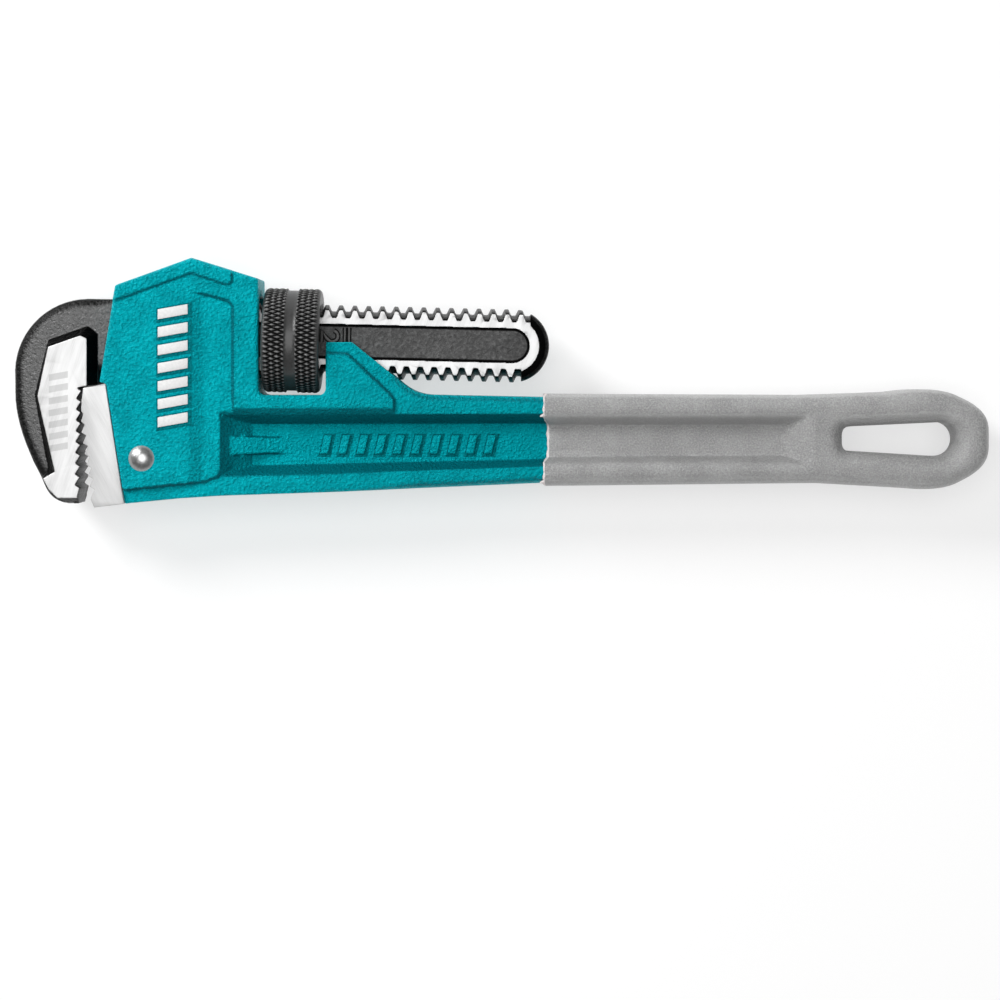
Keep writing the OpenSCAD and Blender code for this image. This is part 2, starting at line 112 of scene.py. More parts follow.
def from_arrays(name, points, faces):
    mesh = bpy.data.meshes.new(name)
    mesh.from_pydata([tuple(p) for p in points], [], [tuple(f) for f in faces])
    mesh.validate()
    mesh.update()
    return new_object(name, mesh)


@contextmanager
def edited(mesh):
    """Opens a mesh for editing its points and faces, and writes it back at the end."""
    work = bmesh.new()
    work.from_mesh(mesh)
    yield work
    work.to_mesh(mesh)
    work.free()


def cad_copy(node, name):
    """A copy of a CAD node's mesh, welded so that it is one closed surface."""
    mesh = frame["nodes"][node].data.copy()
    with edited(mesh) as work:
        bmesh.ops.remove_doubles(work, verts=work.verts, dist=WELD)
    mesh.materials.clear()
    return new_object(name, mesh)


def applied(obj):
    """Bakes an object's modifiers into its mesh."""
    graph = bpy.context.evaluated_depsgraph_get()
    graph.update()
    mesh = bpy.data.meshes.new_from_object(obj.evaluated_get(graph))
    old = obj.data
    obj.modifiers.clear()
    obj.data = mesh
    bpy.data.meshes.remove(old)
    return obj


def remeshed(obj, voxel):
    step = obj.modifiers.new("remesh", "REMESH")
    step.mode = "VOXEL"
    step.voxel_size = voxel * COARSER
    step.adaptivity = 0.0
    return applied(obj)


def smoothed(obj, reach, voxel):
    """Smooths a voxel mesh over about so great a length."""
    size = voxel * COARSER
    step = obj.modifiers.new("smooth", "SMOOTH")
    step.factor = 0.5
    step.iterations = max(1, round(4 * (reach / size) ** 2))
    return applied(obj)


def welded(obj):
    """Joins points that lie on one another and drops the faces of no area between them."""
    with edited(obj.data) as work:
        bmesh.ops.remove_doubles(work, verts=work.verts, dist=WELD)
        bmesh.ops.dissolve_degenerate(work, dist=WELD, edges=work.edges)
        bmesh.ops.triangulate(work, faces=[f for f in work.faces if len(f.verts) > 3])
    return obj


def thinned(obj, triangles, kept=None):
    """Collapses a dense mesh to about so many triangles, leaving the points marked as kept."""
    now = sum(len(p.vertices) - 2 for p in obj.data.polygons)
    if now <= triangles:
        return obj
    step = obj.modifiers.new("thin", "DECIMATE")
    step.ratio = triangles / now
    if kept is not None:
        free = obj.vertex_groups.new(name="free")
        free.add(np.where(~kept)[0].tolist(), 1.0, "REPLACE")
        step.vertex_group = free.name
    return applied(obj)


def bevelled(obj, width, angle=35):
    step = obj.modifiers.new("bevel", "BEVEL")
    step.width = width
    step.segments = 2
    step.limit_method = "ANGLE"
    step.angle_limit = math.radians(angle)
    return applied(obj)


def shade_smooth(obj, angle=None):
    mesh = obj.data
    mesh.polygons.foreach_set("use_smooth", [True] * len(mesh.polygons))
    if angle is not None:
        mesh.set_sharp_from_angle(angle=math.radians(angle))
    return obj


def points_of(mesh):
    flat = np.zeros(len(mesh.vertices) * 3, np.float32)
    mesh.vertices.foreach_get("co", flat)
    return flat.reshape(-1, 3).astype(float)


def normals_of(mesh):
    flat = np.zeros(len(mesh.vertices) * 3, np.float32)
    mesh.vertex_normals.foreach_get("vector", flat)
    return flat.reshape(-1, 3).astype(float)


def off_middle(points):
    """Height of each point above or below the middle plane."""
    return np.abs(points[:, 2] - MID_Z)


def tilt(mesh):
    """How far the surface leans from flat at each point, in degrees."""
    return np.degrees(np.arccos(np.clip(np.abs(normals_of(mesh)[:, 2]), 0, 1)))


def share_between(values, ends):
    """0 at the first end and before it, 1 at the second end and beyond."""
    return np.clip((values - ends[0]) / (ends[1] - ends[0]), 0, 1)


def inside_box(points, box):
    (x_low, x_high), (y_low, y_high) = box
    x, y = points[:, 0], points[:, 1]
    return (x > x_low) & (x < x_high) & (y > y_low) & (y < y_high)


def set_points(mesh, points):
    mesh.vertices.foreach_set("co", points.astype(np.float32).ravel())
    mesh.update()


def marked(mesh, name, values):
    """Stores one number per point for a material to read."""
    layer = mesh.attributes.new(name, "FLOAT", "POINT")
    layer.data.foreach_set("value", values.astype(np.float32))


def plan_tree(points):
    """Search tree over points in plan, thinned to one in each cell of a grid."""
    cells = np.unique(np.round(points[:, :2] / PLAN_GRID), axis=0) * PLAN_GRID
    tree = KDTree(len(cells))
    for i, (x, y) in enumerate(cells):
        tree.insert((x, y, 0.0), i)
    tree.balance()
    return tree


def away_from(tree, point):
    """Distance in plan from a point to the nearest one in the tree."""
    return tree.find((point[0], point[1], 0.0))[2]


def eased_sides(obj, walls, flat, width, drop, among=None):
    """Rounds long edges. The flat sides at a height off the middle plane fall away by a drop, over
    a width next to the walls. Flat, width and drop are one number per point."""
    points = points_of(obj.data)
    tree = plan_tree(points[walls])
    height = off_middle(points)
    near = height > flat - drop
    if among is not None:
        near &= among
    for i in np.where(near)[0]:
        away = away_from(tree, points[i])
        if away > width[i]:
            continue
        share = 1.0 - away / width[i]
        fall = drop[i] * (1.0 - math.sqrt(1.0 - share * share))
        keep = max(height[i] - fall, flat[i] - drop[i])
        points[i, 2] = MID_Z + math.copysign(min(height[i], keep), points[i, 2] - MID_Z)
    set_points(obj.data, points)


def prism(outline, low, high):
    """Points and faces of an upright prism over a plan outline."""
    n = len(outline)
    points = [(x, y, low) for x, y in outline] + [(x, y, high) for x, y in outline]
    faces = [tuple(range(n - 1, -1, -1)), tuple(range(n, 2 * n))]
    faces += [(i, (i + 1) % n, (i + 1) % n + n, i + n) for i in range(n)]
    return points, faces


def merged(name, parts):
    """One object from several (points, faces) pairs."""
    points, faces = [], []
    for p, f in parts:
        base = len(points)
        points += p
        faces += [tuple(i + base for i in face) for face in f]
    return from_arrays(name, points, faces)


def both_sides(outline, near, far):
    """The same prism on the upper and on the lower side of the wrench."""
    return [prism(outline, MID_Z + near, MID_Z + far), prism(outline, MID_Z - far, MID_Z - near)]


def outset(outline, by):
    """A convex outline, counter-clockwise, moved outwards."""
    points = [Vector(p) for p in outline]
    grown = []
    for i, p in enumerate(points):
        before = (p - points[i - 1]).normalized()
        after = (points[(i + 1) % len(points)] - p).normalized()
        out = Vector((before.y, -before.x)) + Vector((after.y, -after.x))
        grown.append(tuple(p + out * by / (1.0 + before.dot(after))))
    return grown


def ring_faces(rings, steps):
    """Four-sided faces between rings that have so many points each."""
    faces = []
    for k in range(rings - 1):
        for i in range(steps):
            j = (i + 1) % steps
            faces.append((k * steps + i, k * steps + j, (k + 1) * steps + j, (k + 1) * steps + i))
    return faces


def lathe(name, profile, steps):
    """Turns (radius, height) points about +Z at the origin."""
    turn = np.linspace(0, 2 * math.pi, steps, endpoint=False)
    points = [(r * math.cos(t), r * math.sin(t), z) for r, z in profile for t in turn]
    return from_arrays(name, points, ring_faces(len(profile), steps))


def ribbon(path, wide, low, high):
    """Raised line over a path in plan, with square ends."""
    points, faces = [], []
    for i, p in enumerate(path):
        along = (Vector(path[min(i + 1, len(path) - 1)]) - Vector(path[max(i - 1, 0)])).normalized()
        side = Vector((-along.y, along.x)) * wide / 2
        for s, z in ((1, low), (1, high), (-1, high), (-1, low)):
            points.append((p[0] + s * side.x, p[1] + s * side.y, z))
    for i in range(len(path) - 1):
        for k in range(4):
            a, b = i * 4 + k, i * 4 + (k + 1) % 4
            faces.append((a, a + 4, b + 4, b))
    last = 4 * (len(path) - 1)
    faces += [(0, 1, 2, 3), (last + 3, last + 2, last + 1, last)]
    return points, faces


# ---------------------------------------------------------------- materials

SPAN_ENDS = ("From Min", "From Max", "To Min", "To Max")


class Look:
    """A Principled material, with the few node kinds that these looks share."""

    def __init__(self, name):
        self.material = bpy.data.materials.new(name)
        self.material.use_nodes = True
        self.tree = self.material.node_tree
        self.shader = self.tree.nodes["Principled BSDF"]
        coords = self.tree.nodes.new("ShaderNodeTexCoord")
        self.place = coords.outputs["Object"]

    def link(self, source, socket):
        self.tree.links.new(source, socket)

    def fixed(self, **values):
        for key, value in values.items():
            self.shader.inputs[key.replace("_", " ")].default_value = value

    def mapped(self, scale=(1, 1, 1), turn=0.0, move=(0, 0, 0)):
        """Coordinates moved, then turned about +Z, then scaled."""
        place = self.place
        for key, value in (("Location", move), ("Rotation", (0, 0, turn)), ("Scale", scale)):
            node = self.tree.nodes.new("ShaderNodeMapping")
            node.inputs[key].default_value = value
            self.link(place, node.inputs["Vector"])
            place = node.outputs["Vector"]
        return place

    def noise(self, size, detail=2.0, rough=0.5, where=None):
        """Noise whose blobs are about one size across."""
        node = self.tree.nodes.new("ShaderNodeTexNoise")
        node.inputs["Scale"].default_value = 1.0 / size
        node.inputs["Detail"].default_value = detail
        node.inputs["Roughness"].default_value = rough
        self.link(where or self.place, node.inputs["Vector"])
        return node.outputs["Fac"]

    def span(self, value, low, high, to_low=0.0, to_high=1.0):
        node = self.tree.nodes.new("ShaderNodeMapRange")
        for key, number in zip(SPAN_ENDS, (low, high, to_low, to_high)):
            node.inputs[key].default_value = number
        self.link(value, node.inputs["Value"])
        return node.outputs["Result"]

    def math(self, kind, a, b=0.0):
        node = self.tree.nodes.new("ShaderNodeMath")
        node.operation = kind
        for socket, item in zip(node.inputs, (a, b)):
            if isinstance(item, (int, float)):
                socket.default_value = item
            else:
                self.link(item, socket)
        return node.outputs[0]

    def mix(self, share, a, b):
        node = self.tree.nodes.new("ShaderNodeMix")
        node.data_type = "RGBA"
        for key, item in ((0, share), (6, a), (7, b)):
            if isinstance(item, (tuple, float, int)):
                node.inputs[key].default_value = item
            else:
                self.link(item, node.inputs[key])
        return node.outputs[2]

    def axes(self, vector=None):
        node = self.tree.nodes.new("ShaderNodeSeparateXYZ")
        self.link(vector or self.place, node.inputs[0])
        return node.outputs

    def off_middle(self):
        """Height above or below the middle plane."""
        return self.math("ABSOLUTE", self.math("SUBTRACT", self.axes()["Z"], MID_Z))

    def mark(self, name):
        node = self.tree.nodes.new("ShaderNodeAttribute")
        node.attribute_name = name
        return node.outputs["Fac"]

    def pointiness(self, low, high):
        node = self.tree.nodes.new("ShaderNodeNewGeometry")
        return self.span(node.outputs["Pointiness"], low, high)

    def edge_highlight(self):
        """0 on flat ground, towards 1 along raised edges, where a painted highlight goes."""
        return self.pointiness(0.52, 0.62)

    def sunk(self):
        """0 on flat ground, towards 1 along hollow corners, where painted shade goes."""
        return self.pointiness(0.48, 0.40)

    def product(self, *shares):
        total = shares[0]
        for share in shares[1:]:
            total = self.math("MULTIPLY", total, share)
        return total

    def laid_over(self, base, share, strength, colour):
        """A colour laid over a base where a share is high, up to a strength."""
        return self.mix(self.math("MULTIPLY", share, strength), base, colour)

    def colour(self, source):
        self.link(source, self.shader.inputs["Base Color"])

    def roughness(self, source):
        self.link(source, self.shader.inputs["Roughness"])

    def bump(self, source, distance, strength=1.0, before=None):
        node = self.tree.nodes.new("ShaderNodeBump")
        node.inputs["Distance"].default_value = distance
        node.inputs["Strength"].default_value = strength
        self.link(source, node.inputs["Height"])
        if before is not None:
            self.link(before, node.inputs["Normal"])
        self.link(node.outputs["Normal"], self.shader.inputs["Normal"])
        return node.outputs["Normal"]


def grey(level):
    return (level, level, level, 1.0)


DEEP_TEAL = (0.0, 0.17, 0.20, 1.0)
TEAL_LOW = (0.0, 0.245, 0.29, 1.0)
TEAL_HIGH = (0.0, 0.32, 0.375, 1.0)
PALE_TEAL = (0.004, 0.50, 0.56, 1.0)
# Painted shade on steps.
DARK_TEAL = (0.0, 0.075, 0.095, 1.0)
# Painted shadow round raised shapes.
SHADOW_TEAL = (0.0, 0.05, 0.06, 1.0)
BEAD_PINK = (0.72, 0.66, 0.65, 1.0)
# Where the enamel is painted darker from the head towards the handle, as painted shade.
HANDLE_SHADE_SPAN = (-75 * MM, -25 * MM)


def teal_paint(name="teal_paint", shade=0.0):
    """Hammered teal enamel: orange peel and paler on high spots, with painted shade along the handle, on
    steps and on the ramp, painted highlight on edges, and painted shadow over all where a shade is given.
    """
    look = Look(name)
    look.fixed(Specular_IOR_Level=0.35, Specular_Tint=(0.02, 0.85, 1.0, 1.0))
    peel = look.noise(0.8 * MM, 1.5, 0.5)
    fine = look.noise(0.35 * MM, 2.0, 0.6)
    blotch = look.noise(7 * MM, 3.0, 0.5)
    base = look.mix(look.span(blotch, 0.35, 0.65), TEAL_LOW, TEAL_HIGH)
    base = look.mix(look.span(peel, 0.52, 0.70, 0.0, 0.28), base, PALE_TEAL)
    base = look.mix(look.span(peel, 0.49, 0.34, 0.0, 0.3), base, DEEP_TEAL)
    # Painted highlight along raised edges.
    base = look.laid_over(base, look.edge_highlight(), 0.3, PALE_TEAL)
    # Painted shade: darker from the head towards the handle.
    base = look.mix(look.span(look.axes()["X"], *HANDLE_SHADE_SPAN, 0.0, 0.42), base, DEEP_TEAL)
    # Painted highlight on the rounded outer edges.
    base = look.laid_over(base, look.mark("edge"), 0.35, PALE_TEAL)
    # Painted shade on steps, slopes and the head's ramp.
    base = look.laid_over(base, look.mark("steep"), 0.8, DARK_TEAL)
    if shade:
        base = look.mix(shade, base, SHADOW_TEAL)
    look.colour(base)
    look.roughness(look.span(peel, 0.3, 0.7, 0.5, 0.34))
    first = look.bump(peel, 0.9 * MM, 1.0)
    look.bump(fine, 0.03 * MM, 0.5, first)
    return look.material


def dip_bead(look, wave):
    """The pale lip along the start of the vinyl."""
    back = look.span(look.off_middle(), *DIP_HEIGHTS, DIP_BACK, 0.0)
    line = look.math("ADD", back, DIP_START)
    wide = look.span(wave, 0.35, 0.65, 0.35 * MM, 0.75 * MM)
    return look.math("LESS_THAN", look.axes()["X"], look.math("ADD", line, wide))


def grey_vinyl():
    """Satin dipped vinyl with a fine grain and a pale bead where the dip ends, painted highlight on its
    rounded edges and painted light on walls that face towards -Y.
    """
    look = Look("grey_vinyl")
    look.fixed(Specular_IOR_Level=0.45)
    grain = look.noise(0.5 * MM, 2.0, 0.6)
    cloud = look.noise(9 * MM, 2.0, 0.5)
    base = look.mix(look.span(cloud, 0.35, 0.65), grey(0.255), grey(0.305))
    base = look.mix(look.span(grain, 0.5, 0.68, 0.0, 0.5), base, grey(0.50))
    base = look.mix(look.span(grain, 0.48, 0.33, 0.0, 0.45), base, grey(0.18))
    # Painted highlight on the rounded edges.
    base = look.laid_over(base, look.mark("edge"), 0.45, grey(0.55))
    # Painted light on the walls that face towards -Y.
    base = look.laid_over(base, look.mark("wall"), 0.45, grey(0.50))
    base = look.mix(dip_bead(look, cloud), base, BEAD_PINK)
    look.colour(base)
    look.roughness(look.span(grain, 0.3, 0.7, 0.5, 0.38))
    look.bump(grain, 0.4 * MM, 1.0)
    return look.material


HEEL_GRIND = math.radians(62)
HOOK_GRIND = math.radians(-72)


def scratches(look, turn):
    """Long fine lines, as a belt grinder leaves them, at an angle in plan."""
    return look.noise(0.22 * MM, 3.0, 0.7, look.mapped((0.035, 1.0, 0.3), turn))


def bright_ground(look, lines, sheen):
    """Colour of ground steel, from its fine lines and its broader bands."""
    base = look.mix(look.span(sheen, 0.35, 0.65), grey(0.45), grey(0.57))
    return look.mix(look.span(lines, 0.35, 0.7, 0.0, 0.6), base, grey(0.62))


def ground_steel():
    look = Look("ground_steel")
    look.fixed(Metallic=0.35)
    lines = scratches(look, HEEL_GRIND)
    sheen = look.noise(3.5 * MM, 2.0, 0.5, look.mapped((0.12, 1.0, 0.3), HEEL_GRIND))
    # Painted shade in hollow corners.
    base = look.laid_over(bright_ground(look, lines, sheen), look.sunk(), 0.8, grey(0.12))
    look.colour(base)
    look.roughness(look.span(lines, 0.3, 0.7, 0.34, 0.5))
    look.bump(lines, 0.012 * MM, 0.5)
    return look.material


def on_shank(look):
    """Coordinates along and across the shank."""
    back = tuple(-c for c in NUT_CENTRE)
    return look.axes(look.mapped(turn=-SHANK_TURN, move=back))


def from_panel_edge(look):
    """Distance inside the edge of the sunk panel in the shank, negative outside it."""
    axes = on_shank(look)
    half = (SHANK_END_CENTRE - PANEL_START) / 2
    centre = (SHANK_END_CENTRE + PANEL_START) / 2
    x = look.math("ABSOLUTE", look.math("SUBTRACT", axes["X"], centre))
    x = look.math("MAXIMUM", look.math("SUBTRACT", x, half), 0.0)
    square = look.math("ADD", look.math("MULTIPLY", x, x), look.math("MULTIPLY", axes["Y"], axes["Y"]))
    return look.math("SUBTRACT", PANEL_HALF, look.math("SQRT", square))


ETCH_PITCH = 3.6 * MM
ETCH_LEAN = 0.18
ETCH_FILLED = 0.55
ETCH_X = (-137.4 * MM, -131.6 * MM)
ETCH_Y = (0.9 * ETCH_PITCH, 7.9 * ETCH_PITCH)


def etched_bars(look):
    """Row of slanted grey bars etched into the side of the hook's block."""
    axes = look.axes()
    across = look.math("ADD", axes["Y"], look.math("MULTIPLY", axes["X"], -ETCH_LEAN))
    wave = look.math("FRACT", look.math("DIVIDE", across, ETCH_PITCH))
    bar = look.math("LESS_THAN", wave, ETCH_FILLED)
    left = look.math("GREATER_THAN", axes["X"], ETCH_X[0])
    right = look.math("LESS_THAN", axes["X"], ETCH_X[1])
    low = look.math("GREATER_THAN", across, ETCH_Y[0])
    high = look.math("LESS_THAN", across, ETCH_Y[1])
    return look.product(bar, left, right, low, high)


def forged_black():
    """Black forging scale, with the ground faces of the block and of the shank in bright steel, painted
    highlight on the hook's flat rim, and painted shade, a black that reflects nothing, on rounded edges,
    round the block and round the sunk panel.
    """
    look = Look("forged_black")
    look.fixed(Specular_IOR_Level=0.75)
    grain = look.noise(1.0 * MM, 2.5, 0.6)
    patch = look.noise(4 * MM, 3.0, 0.5)
    lines = scratches(look, HOOK_GRIND)
    sheen = look.noise(2.5 * MM, 2.0, 0.5, look.mapped((0.15, 1.0, 0.3), HOOK_GRIND))
    height, x = look.off_middle(), look.axes()["X"]
    wobble = look.math("MULTIPLY", look.math("SUBTRACT", grain, 0.5), 0.06 * MM)
    level = look.math("ADD", height, wobble)
    block = look.math("GREATER_THAN", level, BLOCK_HALF - 0.1 * MM)
    flat = look.math("GREATER_THAN", level, SHANK_HALF - 0.09 * MM)
    behind = look.math("GREATER_THAN", x, HEEL_HIGH.x)
    ground = look.math("MAXIMUM", block, look.math("MULTIPLY", flat, behind))
    panel = look.product(look.math("GREATER_THAN", height, PANEL_FLOOR - 0.3 * MM), behind)
    rim = look.span(from_panel_edge(look), 1.0 * MM, 0.7 * MM)
    black = look.mix(look.span(patch, 0.35, 0.65), grey(0.016), grey(0.030))
    black = look.mix(look.span(grain, 0.5, 0.75, 0.0, 0.6), black, grey(0.12))
    black = look.mix(look.span(grain, 0.48, 0.36, 0.0, 0.6), black, grey(0.006))
    front = look.math("LESS_THAN", x, HEEL_HIGH.x)
    # Painted highlight: the hook in front of the heel is a little lighter, for the lamp on its flat rim.
    black = look.laid_over(black, front, 0.4, grey(0.075))
    # Painted shade on the walls round the block.
    bevel = look.product(look.math("GREATER_THAN", height, HOOK_RIM_HALF + 0.12 * MM), front)
    edge = look.math("MULTIPLY", look.mark("edge"), 0.85)
    # Painted shade: on the line round the sunk panel, round the block and on the rounded edges.
    painted_shade = look.math("MAXIMUM", look.math("MAXIMUM", look.product(panel, rim), bevel), edge)
    black = look.mix(painted_shade, black, grey(0.003))
    bright = look.laid_over(bright_ground(look, lines, sheen), etched_bars(look), 0.5, grey(0.26))
    look.colour(look.mix(ground, black, bright))
    # The painted shade is a black that reflects nothing.
    look.link(look.mix(ground, painted_shade, grey(0.35)), look.shader.inputs["Metallic"])
    rough = look.mix(panel, look.span(grain, 0.3, 0.7, 0.32, 0.46), grey(0.62))
    look.roughness(look.mix(ground, rough, grey(0.42)))
    look.bump(look.math("MULTIPLY", grain, look.math("SUBTRACT", 1.0, ground)), 0.45 * MM, 1.0)
    return look.material


def polished_steel():
    look = Look("polished_steel")
    look.fixed(Metallic=1.0)
    marks = look.noise(0.8 * MM, 4.0, 0.6)
    base = look.mix(look.span(marks, 0.3, 0.7), grey(0.40), grey(0.52))
    # Painted shade in hollow corners.
    look.colour(look.laid_over(base, look.sunk(), 0.7, grey(0.1)))
    look.roughness(look.span(marks, 0.3, 0.7, 0.28, 0.4))
    look.bump(marks, 0.02 * MM, 0.4)
    return look.material


def nut_black():
    """Black oxide, rubbed a little on the diamond points, with a painted highlight there as well, and
    painted shade, a black that reflects nothing, in the grooves.
    """
    look = Look("nut_black")
    look.fixed(Specular_IOR_Level=0.5)
    grain = look.noise(0.4 * MM, 3.0, 0.6)
    # Painted shade in the grooves: a black that reflects nothing.
    look.link(look.span(look.mark("crest"), 0.7, 0.2), look.shader.inputs["Metallic"])
    base = look.mix(look.span(grain, 0.35, 0.7), grey(0.015), grey(0.028))
    # Lighter on the diamond points: rubbed there, and painted highlight as well.
    base = look.mix(look.span(look.mark("crest"), 0.6, 1.0, 0.0, 0.8), base, grey(0.18))
    base = look.mix(look.span(look.mark("crest"), 0.55, 0.1), base, grey(0.003))
    look.colour(base)
    look.roughness(look.span(grain, 0.3, 0.7, 0.3, 0.45))
    look.bump(grain, 0.03 * MM, 0.5)
    return look.material


def spring_steel():
    look = Look("spring_steel")
    look.fixed(Metallic=1.0)
    drawn = look.noise(0.3 * MM, 3.0, 0.6)
    look.colour(look.mix(look.span(drawn, 0.3, 0.7), grey(0.25), grey(0.38)))
    look.roughness(look.span(drawn, 0.3, 0.7, 0.25, 0.4))
    look.bump(drawn, 0.01 * MM, 0.4)
    return look.material


def badge_white():
    look = Look("badge_white")
    fleck = look.noise(0.8 * MM, 3.0, 0.6)
    look.colour(look.mix(look.span(fleck, 0.3, 0.7), grey(0.60), grey(0.70)))
    look.roughness(look.span(fleck, 0.3, 0.7, 0.4, 0.55))
    look.bump(fleck, 0.05 * MM, 0.6)
    return look.material


def mark_black(name, level, metal=0.0):
    """Black of the scale marks, or of the painted shadow round them."""
    look = Look(name)
    look.fixed(Metallic=metal)
    grain = look.noise(0.5 * MM, 3.0, 0.6)
    look.colour(look.mix(look.span(grain, 0.35, 0.7), grey(level), grey(level * 2.2)))
    look.roughness(look.span(grain, 0.3, 0.7, 0.3, 0.5))
    look.bump(grain, 0.04 * MM, 0.5)
    return look.material


TEAL = teal_paint()
TEAL_SHADE = teal_paint("teal_shade", 0.75)
VINYL = grey_vinyl()
GROUND = ground_steel()
FORGED = forged_black()
POLISHED = polished_steel()
KNURLED = nut_black()
SPRING = spring_steel()
WHITE = badge_white()
MARK_BLACK = mark_black("mark_black", 0.012)
MARK_SHADE = mark_black("mark_shade", 0.003, 1.0)


def dressed(obj, material, body, slot, *nodes):
    """Gives a piece its material, body and the CAD nodes that it stands for. The slot is not used."""
    obj.data.materials.clear()
    obj.data.materials.append(material)
    if nodes:
        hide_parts(*nodes)
    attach(obj, body)


# ---------------------------------------------------------------- housing and grip

CAST_VOXEL = 0.34 * MM
CAST_SOFT = 0.32 * MM
VINYL_SOFT = 1.3 * MM
CAST_TRIANGLES = 190_000
VINYL_TRIANGLES = 130_000
# Width and drop of the rounding along the outer edges.
HEAD_EASE = (1.2 * MM, 0.9 * MM)
HANDLE_EASE = (2.7 * MM, 2.5 * MM)
# Where the head's edges give way to the handle's rounder ones.
HANDLE_FROM = (-40 * MM, -26 * MM)
# Where the bottom edge of the handle's lower flange thins out from the head's thickness.
FLANGE_FROM = (-85 * MM, -45 * MM)
FLANGE_TOP = -20 * MM
# Heights between which the outer walls are looked for, clear of the channel and of the edges.
HEAD_WALLS = (6.9 * MM, 8.8 * MM)
HANDLE_WALLS = (2 * MM, 7.2 * MM)
HOLE_BOX = ((100 * MM, 142 * MM), (-25 * MM, -9.5 * MM))
PIN_CENTRE = (PIN_LOW + PIN_HIGH) / 2
PIN_CLEAR = 5 * MM
# The recess in the handle's flat sides: its plan, its front end and how far that end is moved.
RECESS_BOX = ((-88 * MM, 100 * MM), (-27 * MM, -7 * MM))
RECESS_FRONT = -86.4 * MM
RECESS_SHIFT = 1.1 * MM
RECESS_REACH = 3.5 * MM
# The move fades in over these stretches of Y at the recess's lower and upper edge.
RECESS_LOWER = (-29 * MM, -27 * MM)
RECESS_UPPER = (-5 * MM, -6 * MM)
# Bevel along the bottom edge of the raised head: its ends, and its top and foot.
LEDGE_SPAN = (RECESS_FRONT + RECESS_SHIFT, -32.3 * MM)
LEDGE_TOP = -7.6 * MM
LEDGE_FOOT = -9.7 * MM
LEDGE_UNDER = 0.6 * MM
# The ramp down the front of the panel in the head, and how much painted shade it gets.
RAMP = (-95 * MM, -90.2 * MM)
RAMP_SPAN = (-31 * MM, 26 * MM)
RAMP_FLOOR = HEAD_HALF - 1.0 * MM
RAMP_SHADE = 0.32
# Leans in degrees over which a surface starts to count as a step, a slope or an edge, for painted shade
# and painted highlight.
STEP_LEAN = (30, 55)
SLOPE_LEAN = (14, 40)
EDGE_LEAN = (20, 50)
STEP_LINE = 0.55 * MM
EDGE_CLEAR = 1.2 * MM
# Points below the first height belong to the channel, and those above the second to the flat sides.
INNER_HALF = WEB_HALF - 0.6 * MM
OUTER_HALF = HANDLE_HALF - 0.3 * MM


def casting_walls(points, normals):
    """The upright outer walls of the casting, without the channel, the pin hole and the hang hole."""
    height = off_middle(points)
    low = np.where(points[:, 0] < HANDLE_FROM[1], HEAD_WALLS[0], HANDLE_WALLS[0])
    high = np.where(points[:, 0] < HANDLE_FROM[0], HEAD_WALLS[1], HANDLE_WALLS[1])
    walls = (np.abs(normals[:, 2]) < UPRIGHT) & (height > low) & (height < high)
    pin_hole = np.hypot(points[:, 0] - PIN_CENTRE.x, points[:, 1] - PIN_CENTRE.y) < PIN_CLEAR
    return walls & ~pin_hole & ~inside_box(points, HOLE_BOX)


def ledge_cut(obj):
    """Cuts the bevel along the bottom edge of the raised head."""
    points = points_of(obj.data)
    here = inside_box(points, (LEDGE_SPAN, (LEDGE_FOOT - LEDGE_UNDER, LEDGE_TOP)))
    rise = share_between(points[:, 1], (LEDGE_FOOT, LEDGE_TOP))
    limit = HANDLE_HALF + (HEAD_HALF - HANDLE_HALF) * rise
    height = points[:, 2] - MID_Z
    cut = here & (np.abs(height) > limit)
    points[cut, 2] = MID_Z + np.copysign(limit[cut], height[cut])
    set_points(obj.data, points)


def recess_moved(obj):
    """Draws the front end of the recess in the handle a little back."""
    points = points_of(obj.data)
    x, y = points[:, 0], points[:, 1]
    inside = share_between(y, RECESS_LOWER) * share_between(y, RECESS_UPPER)
    deep = off_middle(points) > INNER_HALF
    near = np.exp(-((x - RECESS_FRONT) / RECESS_REACH) ** 2)
    points[:, 0] += RECESS_SHIFT * near * inside * deep
    set_points(obj.data, points)


def casting():
    """The housing and handle as a casting: the CAD shape with its edges and steps softened."""
    obj = remeshed(cad_copy("handle_housing", "housing_casting"), CAST_VOXEL)
    recess_moved(obj)
    points = points_of(obj.data)
    walls = casting_walls(points, normals_of(obj.data))
    back = share_between(points[:, 0], HANDLE_FROM)
    flange = share_between(points[:, 0], FLANGE_FROM)
    thinner = np.where(points[:, 1] < FLANGE_TOP, flange, points[:, 0] > LEDGE_SPAN[1])
    flat = HEAD_HALF + (HANDLE_HALF - HEAD_HALF) * thinner
    width, drop = (a + (b - a) * back for a, b in zip(HEAD_EASE, HANDLE_EASE))
    outer = points[walls]
    step = widened(points, share_between(tilt(obj.data), STEP_LEAN))
    ledge_cut(obj)
    eased_sides(obj, walls, flat, width, drop)
    smoothed(obj, CAST_SOFT, CAST_VOXEL)
    lean = tilt(obj.data)
    # Painted shade on steps, slopes and the head's ramp.
    dark = np.maximum.reduce([share_between(lean, SLOPE_LEAN), step, ramp_share(points)])
    steep = steep_share(points, dark, outer)
    marked(obj.data, "steep", steep)
    # Painted highlight on the rounded outer edges, kept off the painted shade of the steps.
    marked(obj.data, "edge", share_between(lean, EDGE_LEAN) * (1 - np.clip(3 * steep, 0, 1)))
    return obj


